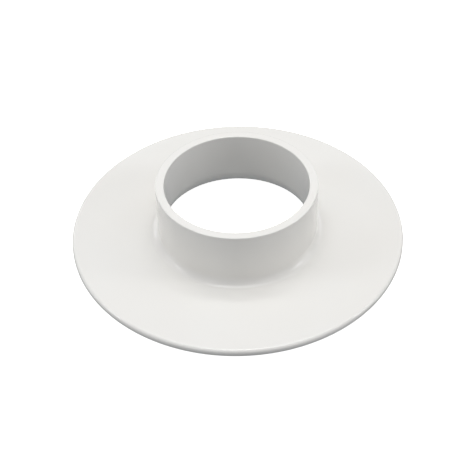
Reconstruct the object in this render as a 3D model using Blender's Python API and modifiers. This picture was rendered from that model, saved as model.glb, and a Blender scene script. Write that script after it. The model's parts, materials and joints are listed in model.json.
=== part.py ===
"""Toilet flange, moulded in one piece from white PVC.

A short pipe collar rises from the middle of a flat round plate. The root of the
collar has a small fillet outside, and the bore has a wide rounded mouth below,
which leaves about three quarters of the wall's thickness at the bend.

Units are metres and +Z is up. The origin is the centre of the plate's
underside, and the bore runs along Z.
"""

import math

import bpy

# Driving dimensions.
COLLAR_OUTER_DIAMETER = 0.0889    # the outside size of 3 inch waste pipe
COLLAR_WALL = 0.0047
COLLAR_RISE = 0.0332              # from the plate's top face to the rim
PLATE_DIAMETER = 0.1856
PLATE_THICKNESS = 0.0045
ROOT_FILLET = 0.0047              # where the collar's outside meets the plate
MOUTH_ROUND = 0.0120              # where the bore opens into the plate's underside
RIM_OUTER_ROUND = 0.0006
RIM_INNER_ROUND = 0.0006
PLATE_TOP_ROUND = 0.0020
PLATE_BOTTOM_ROUND = 0.0020

# Facets.
TURN_STEPS = 96                   # sides of the turned shape
SMALL_ARC_STEPS = 3
FILLET_STEPS = 6
MOUTH_STEPS = 8

COLLECTION_NAME = "toilet_flange"
SHARP_ANGLE = math.radians(40)


def arc(centre_x, centre_z, radius, start, end, steps):
    """Points of a circular arc in the XZ plane, with its angles in degrees."""
    points = []
    for i in range(steps + 1):
        angle = math.radians(start + (end - start) * i / steps)
        points.append((centre_x + radius * math.cos(angle), centre_z + radius * math.sin(angle)))
    return points


def wall_profile():
    """The closed section of the wall, in order down the outside and up the bore."""
    collar_radius = COLLAR_OUTER_DIAMETER / 2
    bore_radius = collar_radius - COLLAR_WALL
    plate_radius = PLATE_DIAMETER / 2
    rim_height = PLATE_THICKNESS + COLLAR_RISE

    rim_outside = arc(collar_radius - RIM_OUTER_ROUND, rim_height - RIM_OUTER_ROUND,
                      RIM_OUTER_ROUND, 90, 0, SMALL_ARC_STEPS)
    root = arc(collar_radius + ROOT_FILLET, PLATE_THICKNESS + ROOT_FILLET,
               ROOT_FILLET, 180, 270, FILLET_STEPS)
    plate_top_edge = arc(plate_radius - PLATE_TOP_ROUND, PLATE_THICKNESS - PLATE_TOP_ROUND,
                         PLATE_TOP_ROUND, 90, 0, SMALL_ARC_STEPS)
    plate_bottom_edge = arc(plate_radius - PLATE_BOTTOM_ROUND, PLATE_BOTTOM_ROUND,
                            PLATE_BOTTOM_ROUND, 0, -90, SMALL_ARC_STEPS)
    mouth = arc(bore_radius + MOUTH_ROUND, MOUTH_ROUND,
                MOUTH_ROUND, 270, 180, MOUTH_STEPS)
    rim_inside = arc(bore_radius + RIM_INNER_ROUND, rim_height - RIM_INNER_ROUND,
                     RIM_INNER_ROUND, 180, 90, SMALL_ARC_STEPS)
    return rim_outside + root + plate_top_edge + plate_bottom_edge + mouth + rim_inside


def turn(name, profile, collection):
    """A solid of revolution about Z, made from a closed profile by a Screw modifier."""
    mesh = bpy.data.meshes.new(name)
    vertices = [(x, 0.0, z) for x, z in profile]
    edges = [(i, (i + 1) % len(profile)) for i in range(len(profile))]
    mesh.from_pydata(vertices, edges, [])
    turned = bpy.data.objects.new(name, mesh)
    collection.objects.link(turned)

    screw = turned.modifiers.new("turn", "SCREW")
    screw.axis = "Z"
    screw.angle = math.radians(360)
    screw.steps = TURN_STEPS
    screw.render_steps = TURN_STEPS
    screw.use_merge_vertices = True
    screw.merge_threshold = 0.00001

    # The modifier's result becomes the mesh, so that its edges can be marked sharp.
    evaluated = turned.evaluated_get(bpy.context.evaluated_depsgraph_get())
    turned.data = bpy.data.meshes.new_from_object(evaluated)
    turned.data.name = name
    turned.modifiers.clear()
    bpy.data.meshes.remove(mesh)
    turned.data.shade_smooth()
    turned.data.set_sharp_from_angle(angle=SHARP_ANGLE)
    return turned


def pvc_material():
    """White injection-moulded PVC with a soft gloss."""
    material = bpy.data.materials.new("white_pvc")
    material.use_nodes = True
    shader = material.node_tree.nodes["Principled BSDF"]
    shader.inputs["Base Color"].default_value = (0.84, 0.83, 0.80, 1.0)
    shader.inputs["Metallic"].default_value = 0.0
    shader.inputs["Roughness"].default_value = 0.35
    material.diffuse_color = (0.84, 0.83, 0.80, 1.0)
    return material


def main():
    for old in list(bpy.data.objects):
        bpy.data.objects.remove(old, do_unlink=True)

    collection = bpy.data.collections.new(COLLECTION_NAME)
    bpy.context.scene.collection.children.link(collection)

    flange = turn("flange_body", wall_profile(), collection)
    flange.data.materials.append(pvc_material())


main()
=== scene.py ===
import json
from math import cos, radians, sin

import bpy
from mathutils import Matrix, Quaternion, Vector


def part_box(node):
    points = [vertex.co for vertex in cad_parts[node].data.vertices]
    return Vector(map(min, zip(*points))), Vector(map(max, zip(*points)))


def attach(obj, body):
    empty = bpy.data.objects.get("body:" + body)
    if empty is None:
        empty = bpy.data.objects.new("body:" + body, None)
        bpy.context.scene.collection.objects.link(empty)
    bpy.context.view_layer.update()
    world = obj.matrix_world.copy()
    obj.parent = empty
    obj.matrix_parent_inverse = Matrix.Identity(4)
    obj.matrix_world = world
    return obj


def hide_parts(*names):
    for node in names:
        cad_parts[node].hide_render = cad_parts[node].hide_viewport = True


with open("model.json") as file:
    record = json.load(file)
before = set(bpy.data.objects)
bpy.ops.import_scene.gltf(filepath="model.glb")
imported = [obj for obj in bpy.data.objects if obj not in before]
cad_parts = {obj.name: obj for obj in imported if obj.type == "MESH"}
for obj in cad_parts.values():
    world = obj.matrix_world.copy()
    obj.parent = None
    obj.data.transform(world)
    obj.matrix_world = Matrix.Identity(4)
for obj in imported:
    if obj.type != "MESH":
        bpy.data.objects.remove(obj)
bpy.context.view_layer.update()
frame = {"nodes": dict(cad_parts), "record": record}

mm = 0.001
near = 0.05 * mm    # a point this close to a radius or a height is on it
nodeName = "flange_body"


def srgb(hexColour):  # sRGB hex to the linear colour that a shader takes
    channels = [int(hexColour[i:i + 2], 16) / 255 for i in (1, 3, 5)]
    linear = [c / 12.92 if c <= 0.04045 else ((c + 0.055) / 1.055) ** 2.4 for c in channels]
    return (*linear, 1.0)


def newMaterial(name, colour):
    material = bpy.data.materials.new(name)
    material.use_nodes = True
    material.diffuse_color = srgb(colour)
    tree = material.node_tree
    return material, tree, tree.nodes["Principled BSDF"]


def addNode(tree, kind, settings=None, values=None, links=None):
    # one node, with its settings, the values of its free inputs and the sockets that feed it
    node = tree.nodes.new(kind)
    for name, value in (settings or {}).items():
        setattr(node, name, value)
    for name, value in (values or {}).items():
        node.inputs[name].default_value = value
    for name, socket in (links or {}).items():
        tree.links.new(socket, node.inputs[name])
    return node


def deselectAll():
    if bpy.context.mode != "OBJECT":
        bpy.ops.object.mode_set(mode="OBJECT")
    bpy.ops.object.select_all(action="DESELECT")


def pickParts(piece, kind, test):
    # in edit mode, selects only the faces or edges of the piece that pass the test
    bpy.ops.object.mode_set(mode="OBJECT")
    mesh = piece.data
    for group in (mesh.polygons, mesh.edges, mesh.vertices):
        group.foreach_set("select", [False] * len(group))
    for part in getattr(mesh, kind):
        part.select = test(part, [mesh.vertices[i].co for i in part.vertices])
    bpy.ops.object.mode_set(mode="EDIT")
    bpy.ops.mesh.select_mode(type="FACE" if kind == "polygons" else "EDGE")


# sizes of the moulding: the frame gives all but the small edge rounds
mounts = {mount["name"]: mount for mount in frame["record"]["mounts"]}
nodeLow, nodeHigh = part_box(nodeName)
nodePoints = [vertex.co for vertex in frame["nodes"][nodeName].data.vertices]

moulding = {
    "sides": 288,
    "plateRadius": nodeHigh[0],
    "rimHeight": nodeHigh[2],
    "plateThickness": mounts["plate_top"]["pos_m"][2],
    "boreRadius": min(point.xy.length for point in nodePoints),
    "collarRadius": max(point.xy.length for point in nodePoints if point.z > nodeHigh[2] / 2),
    "rimRound": 0.6 * mm,
    "plateTopRound": 2.0 * mm,
    "plateBottomRound": 2.0 * mm,
    "filletSteps": 20,
    "roundSteps": 7,
}


def lowestPoint(radius):  # of the straight wall at this radius
    return min(point.z for point in nodePoints if abs(point.xy.length - radius) < near)


moulding["wall"] = moulding["collarRadius"] - moulding["boreRadius"]
moulding["rootFillet"] = lowestPoint(moulding["collarRadius"]) - moulding["plateThickness"]
moulding["mouthRound"] = lowestPoint(moulding["boreRadius"])
print("sizes", {name: round(value / mm, 3) for name, value in moulding.items()})


def isRing(points, radius, height):
    return all(abs(point.xy.length - radius) < near and abs(point.z - height) < near
               for point in points)


def makeMoulding():
    size = moulding
    top, rim = size["plateThickness"], size["rimHeight"]
    deselectAll()
    bpy.ops.mesh.primitive_cylinder_add(
        vertices=size["sides"], radius=size["plateRadius"], depth=top,
        location=(0, 0, top / 2))
    piece = bpy.context.object
    piece.name = "flange_moulding"
    bpy.ops.object.transform_apply(location=True, rotation=True, scale=True)

    # the foot of the collar and the bore are inset from the plate's faces
    def wholeFace(height):
        return lambda face, points: (
            len(points) == size["sides"] and abs(points[0].z - height) < near)

    pickParts(piece, "polygons", wholeFace(top))
    bpy.ops.mesh.inset(thickness=size["plateRadius"] - size["collarRadius"])
    bpy.ops.mesh.inset(thickness=size["wall"])
    pickParts(piece, "polygons", wholeFace(0))
    bpy.ops.mesh.inset(thickness=size["plateRadius"] - size["boreRadius"])

    # the ring between them rises as the collar
    middle = (size["collarRadius"] + size["boreRadius"]) / 2
    pickParts(piece, "polygons", lambda face, points: (
        len(points) == 4 and abs(face.center.xy.length - middle) < size["wall"] / 4
        and abs(face.center.z - top) < near))
    bpy.ops.mesh.extrude_region_move(TRANSFORM_OT_translate={"value": (0, 0, rim - top)})

    # the two discs left across the bore go, and the wall is closed down to the underside
    pickParts(piece, "polygons", lambda face, points: len(points) == size["sides"])
    bpy.ops.mesh.delete(type="FACE")
    pickParts(piece, "edges", lambda edge, points: (
        isRing(points, size["boreRadius"], 0) or isRing(points, size["boreRadius"], top)))
    bpy.ops.mesh.bridge_edge_loops()
    pickParts(piece, "edges", lambda edge, points: isRing(points, size["boreRadius"], top))
    bpy.ops.mesh.dissolve_edges()

    # the collar's foot and every edge are rounded
    rounds = (
        (size["collarRadius"], top, size["rootFillet"], size["filletSteps"]),
        (size["boreRadius"], 0, size["mouthRound"], size["filletSteps"]),
        (size["collarRadius"], rim, size["rimRound"], size["roundSteps"]),
        (size["boreRadius"], rim, size["rimRound"], size["roundSteps"]),
        (size["plateRadius"], top, size["plateTopRound"], size["roundSteps"]),
        (size["plateRadius"], 0, size["plateBottomRound"], size["roundSteps"]),
    )
    for radius, height, width, steps in rounds:
        pickParts(piece, "edges", lambda edge, points: isRing(points, radius, height))
        bpy.ops.mesh.bevel(offset=width, offset_type="OFFSET", segments=steps,
                           profile=0.5, affect="EDGES", clamp_overlap=False)

    bpy.ops.mesh.select_all(action="SELECT")
    bpy.ops.mesh.remove_doubles(threshold=0.001 * mm)
    bpy.ops.mesh.normals_make_consistent(inside=False)
    bpy.ops.object.mode_set(mode="OBJECT")
    bpy.ops.object.shade_smooth()
    weighted = piece.modifiers.new("flat faces stay flat", "WEIGHTED_NORMAL")
    weighted.keep_sharp = True
    bpy.ops.object.modifier_apply(modifier=weighted.name)
    return piece


# rigid PVC with a white pigment, injection moulded in a hand-polished steel mould: nearly
# white with a little cream in it, a soft gloss, the orange peel of the melt and the rings
# that the mould's polishing left
pvc = {
    "colour": "#EEEDE9",
    "creamColour": "#ECEAE5",
    "creamPatch": 55 * mm,
    "ior": 1.53,
    "roughness": (0.13, 0.18),
    "glossPatch": 16 * mm,
    "scuffWidth": 0.5 * mm,       # wider than a real scuff, so that it shows
    "scuffLength": 17 * mm,
    "scuffTurn": radians(28),
    "scuffRoughness": 0.05,
    "peelSize": 1.6 * mm,
    "peelHeight": 0.0015 * mm,
    "ringSpacing": 1.9 * mm,      # coarser than real polishing marks, so that they show
    "ringHeight": 0.0005 * mm,
}
waveSpacing = 0.314               # between the bands of a wave texture whose scale is 1


def whitePvc():
    material, tree, shader = newMaterial("injection moulded white PVC", pvc["colour"])
    place = addNode(tree, "ShaderNodeTexCoord").outputs["Object"]

    # the pigment isn't mixed quite evenly
    cream = addNode(tree, "ShaderNodeTexNoise", values={
        "Scale": 1 / pvc["creamPatch"], "Detail": 1.0, "Roughness": 0.4}, links={"Vector": place})
    creamShare = addNode(tree, "ShaderNodeMapRange", values={
        "From Min": 0.2, "From Max": 0.8}, links={"Value": cream.outputs["Fac"]})
    colour = addNode(tree, "ShaderNodeMixRGB", values={
        "Color1": srgb(pvc["colour"]), "Color2": srgb(pvc["creamColour"])},
        links={"Fac": creamShare.outputs["Result"]})
    tree.links.new(colour.outputs["Color"], shader.inputs["Base Color"])

    # gloss varies with the mould's polish, and faint scuffs dull it
    dull, dullest = pvc["roughness"]
    gloss = addNode(tree, "ShaderNodeTexNoise", values={
        "Scale": 1 / pvc["glossPatch"], "Detail": 2.0, "Roughness": 0.5}, links={"Vector": place})
    glossRange = addNode(tree, "ShaderNodeMapRange", values={
        "From Min": 0.3, "From Max": 0.7, "To Min": dull, "To Max": dullest},
        links={"Value": gloss.outputs["Fac"]})
    along = addNode(tree, "ShaderNodeMapping", values={
        "Rotation": (0.0, 0.0, pvc["scuffTurn"]),
        "Scale": (1 / pvc["scuffLength"], 1 / pvc["scuffWidth"], 1 / pvc["scuffWidth"])},
        links={"Vector": place})
    scuff = addNode(tree, "ShaderNodeTexNoise", values={
        "Scale": 1.0, "Detail": 2.0, "Roughness": 0.5}, links={"Vector": along.outputs["Vector"]})
    scuffRange = addNode(tree, "ShaderNodeMapRange", values={
        "From Min": 0.62, "From Max": 0.72, "To Max": pvc["scuffRoughness"]},
        links={"Value": scuff.outputs["Fac"]})
    rough = addNode(tree, "ShaderNodeMath", {"operation": "ADD"})
    tree.links.new(glossRange.outputs["Result"], rough.inputs[0])
    tree.links.new(scuffRange.outputs["Result"], rough.inputs[1])
    tree.links.new(rough.outputs["Value"], shader.inputs["Roughness"])

    # orange peel over polishing rings, as two bumps, each with its own height
    rings = addNode(tree, "ShaderNodeTexWave", {"wave_type": "RINGS", "rings_direction": "Z"}, {
        "Scale": waveSpacing / pvc["ringSpacing"], "Distortion": 1.5, "Detail": 2.0,
        "Detail Scale": 0.4}, {"Vector": place})
    ringBump = addNode(tree, "ShaderNodeBump", values={
        "Strength": 1.0, "Distance": pvc["ringHeight"]}, links={"Height": rings.outputs["Fac"]})
    peel = addNode(tree, "ShaderNodeTexNoise", values={
        "Scale": 1 / pvc["peelSize"], "Detail": 2.0, "Roughness": 0.45}, links={"Vector": place})
    peelBump = addNode(tree, "ShaderNodeBump", values={
        "Strength": 1.0, "Distance": pvc["peelHeight"]},
        links={"Height": peel.outputs["Fac"], "Normal": ringBump.outputs["Normal"]})
    tree.links.new(peelBump.outputs["Normal"], shader.inputs["Normal"])

    shader.inputs["IOR"].default_value = pvc["ior"]
    return material


flangePiece = makeMoulding()
flangePiece.data.materials.clear()
flangePiece.data.materials.append(whitePvc())
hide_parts(nodeName)
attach(flangePiece, "root")
print("moulding", len(flangePiece.data.polygons), "faces")


studio = {
    "floorSize": 12.0,
    "floorColour": "#F7F7F5",
    "floorRoughness": 0.9,
    "floorSpecular": 0.1,
    "floorGlow": 0.9,
    "skyColour": "#F7F8FC",
    "skyStrength": 0.415,
    "groundColour": "#F4F9FF",
    "groundStrength": 0.28,
}


def makeFloor():
    deselectAll()
    bpy.ops.mesh.primitive_plane_add(size=studio["floorSize"], location=(0, 0, 0))
    floor = bpy.context.object
    floor.name = "studio_floor"
    material, tree, shader = newMaterial("backlit white acrylic", studio["floorColour"])
    shader.inputs["Base Color"].default_value = srgb(studio["floorColour"])
    shader.inputs["Roughness"].default_value = studio["floorRoughness"]
    shader.inputs["Specular IOR Level"].default_value = studio["floorSpecular"]
    shader.inputs["Emission Color"].default_value = srgb(studio["floorColour"])
    shader.inputs["Emission Strength"].default_value = studio["floorGlow"]
    floor.data.materials.append(material)
    floor.visible_diffuse = False    # the white floor throws no light back up at the moulding
    floor.visible_glossy = False     # and isn't mirrored in its edges


def makeWorld():
    # an even light from above the horizon, and a weaker one from below it
    world = bpy.data.worlds.new("studio")
    world.use_nodes = True
    tree = world.node_tree
    background = tree.nodes["Background"]
    place = addNode(tree, "ShaderNodeTexCoord").outputs["Generated"]
    parts = addNode(tree, "ShaderNodeSeparateXYZ", links={"Vector": place})
    above = addNode(tree, "ShaderNodeMath", {"operation": "GREATER_THAN"})
    tree.links.new(parts.outputs["Z"], above.inputs[0])
    above.inputs[1].default_value = 0.0
    sky, ground = (
        [channel * studio[side + "Strength"] for channel in srgb(studio[side + "Colour"])]
        for side in ("sky", "ground"))
    colour = addNode(tree, "ShaderNodeMixRGB", values={
        "Color1": ground, "Color2": sky}, links={"Fac": above.outputs["Value"]})
    tree.links.new(colour.outputs["Color"], background.inputs["Color"])
    bpy.context.scene.world = world


# each panel's azimuth and elevation in degrees (90 is behind the flange), its width and height
# in metres, and its power; all stand at one distance from the flange and face it
lampDistance = 1.0
lamps = {
    "key": (88, 71, 0.7, 0.06, 1.7),
    "overheadStrip": (90, 88, 0.75, 0.09, 0.85),
    "overheadBox": (270, 86, 0.45, 0.45, 1.85),
    "leftHigh": (157, 54, 0.06, 0.36, 0.45),
    "rightHigh": (23, 54, 0.06, 0.36, 0.48),
    "leftMiddle": (188, 31, 0.16, 0.30, 0.9),
    "rightMiddle": (-8, 31, 0.16, 0.30, 1.0),
    "leftLow": (180, 13, 0.34, 0.26, 0.6),
    "rightLow": (0, 13, 0.34, 0.26, 0.65),
    "backLeftLow": (135, 13, 0.34, 0.26, 0.7),
    "backRightLow": (45, 13, 0.34, 0.26, 0.45),
    "frontLeft": (235, 32, 0.34, 0.34, 0.20),
    "frontRight": (312, 36, 0.34, 0.34, 0.38),
}


def addLamp(name, azimuth, elevation, width, height, power):
    data = bpy.data.lights.new(name, "AREA")
    data.shape = "RECTANGLE"
    data.size = width
    data.size_y = height
    data.energy = power
    lamp = bpy.data.objects.new(name, data)
    bpy.context.scene.collection.objects.link(lamp)
    turn, lift = radians(azimuth), radians(elevation)
    place = Vector((cos(turn) * cos(lift), sin(turn) * cos(lift), sin(lift))) * lampDistance
    lamp.location = place
    lamp.rotation_euler = place.to_track_quat("Z", "Y").to_euler()


view = {
    # the camera stands in front (-Y) and looks down at the plate's top face
    "elevation": radians(42.96),
    "distance": 7.2198,      # in plate radii, from the centre of the top face
    "aim": (-0.00434, -0.08725),    # the point of the top face looked at, in plate radii
    "roll": radians(-1.1825),
    "lens": 90.35,
    "sensor": 36.0,
    "clipStart": 0.01,
}


def makeCamera():
    data = bpy.data.cameras.new("camera")
    data.lens = view["lens"]
    data.sensor_width = view["sensor"]
    data.clip_start = view["clipStart"]
    camera = bpy.data.objects.new("camera", data)
    bpy.context.scene.collection.objects.link(camera)
    radius, top = moulding["plateRadius"], moulding["plateThickness"]
    reach = view["distance"] * radius
    place = Vector((0, -reach * cos(view["elevation"]), reach * sin(view["elevation"]) + top))
    aim = Vector((view["aim"][0] * radius, view["aim"][1] * radius, top))
    camera.location = place
    turned = (aim - place).to_track_quat("-Z", "Y") @ Quaternion((0, 0, 1), view["roll"])
    camera.rotation_euler = turned.to_euler()
    bpy.context.scene.camera = camera


makeFloor()
makeWorld()
for name, settings in lamps.items():
    addLamp(name, *settings)
makeCamera()
bpy.context.scene.view_settings.view_transform = "Standard"
print("studio ready")
